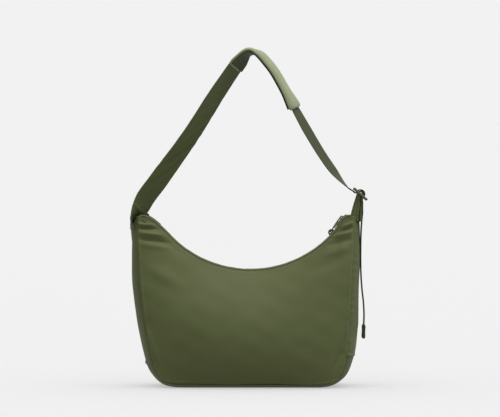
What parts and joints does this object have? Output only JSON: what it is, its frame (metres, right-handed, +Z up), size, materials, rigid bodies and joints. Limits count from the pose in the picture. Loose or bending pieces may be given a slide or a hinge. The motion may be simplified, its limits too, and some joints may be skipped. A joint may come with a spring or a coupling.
{
  "type": "hobo bag",
  "caption": "Soft crescent hobo bag with a zipped concave top, flat base, side gussets and an adjustable strap with a shoulder pad and hanging webbing tail.",
  "frame": {"origin": "under the middle of the base, on the plane that the bag stands on", "axes": "+Z up, the front panel faces -Y, the webbing tail hangs on the +X side"},
  "size_m": [0.3688, 0.1494, 0.529],
  "materials": {
    "shell_fabric": "smooth olive green nylon twill with a soft sheen",
    "gusset_fabric": "the same olive green nylon twill",
    "facing_fabric": "olive green nylon, folded and stitched",
    "lining_fabric": "thin dark green woven lining",
    "stiff_board": "matt dark stiffener board",
    "zip_tape": "dark green woven zip tape",
    "zip_coil": "moulded dark green coil",
    "slider_paint": "dark green painted metal",
    "pull_cord": "green cord loop",
    "strap_fabric": "folded olive green nylon, creased",
    "pad_fabric": "olive green padded nylon",
    "pad_foam": "soft grey foam",
    "webbing": "dark green ribbed webbing",
    "glide_plastic": "matt olive green moulded plastic"
  },
  "bodies": {
    "bag": {"front_panel": "shell_fabric", "back_panel": "shell_fabric", "left_gusset": "gusset_fabric", "right_gusset": "gusset_fabric", "base_panel": "gusset_fabric", "strap_root": "gusset_fabric", "tab_root": "gusset_fabric", "lining_front": "lining_fabric", "lining_back": "lining_fabric", "lining_gusset": "lining_fabric", "base_board": "stiff_board", "zip_facing_front": "facing_fabric", "zip_facing_back": "facing_fabric", "zip_tape_front": "zip_tape", "zip_tape_back": "zip_tape", "zip_coil_front": "zip_coil", "zip_coil_back": "zip_coil", "zip_end_left": "zip_tape", "zip_end_right": "zip_tape"},
    "slider": {"zip_slider": "slider_paint"},
    "pull": {"zip_pull_link": "slider_paint", "zip_pull_tab": "pull_cord"},
    "strap": {"strap_fabric": "strap_fabric", "pad_cover": "pad_fabric", "pad_underside": "strap_fabric", "pad_foam": "pad_foam", "webbing": "webbing", "anchor_tab": "gusset_fabric"},
    "glide": {"tri_glide": "glide_plastic"},
    "tail": {"webbing_tail": "webbing", "tail_hem": "webbing"}
  },
  "joints": [
    {"name": "zip_travel", "type": "hinge", "parent": "bag", "child": "slider", "pos_m": [0.0075, 0, 0.3553], "axis": [0, 1, 0], "range_deg": [0, 95]},
    {"name": "pull_swing", "type": "hinge", "parent": "slider", "child": "pull", "pos_m": [0.13262, 0, 0.24065], "axis": [0, 1, 0], "range_deg": [-165, 0]},
    {"name": "strap_fold", "type": "hinge", "parent": "bag", "child": "strap", "pos_m": [0, 0, 0.286], "axis": [1, 0, 0], "range_deg": [-90, 90]},
    {"name": "glide_tilt", "type": "hinge", "parent": "strap", "child": "glide", "pos_m": [0.179, 0, 0.299], "axis": [0, 1, 0], "range_deg": [-6, 6]},
    {"name": "tail_swing", "type": "hinge", "parent": "bag", "child": "tail", "pos_m": [0.1824, 0, 0.2695], "axis": [0, 1, 0], "range_deg": [-75, 0]}
  ]
}
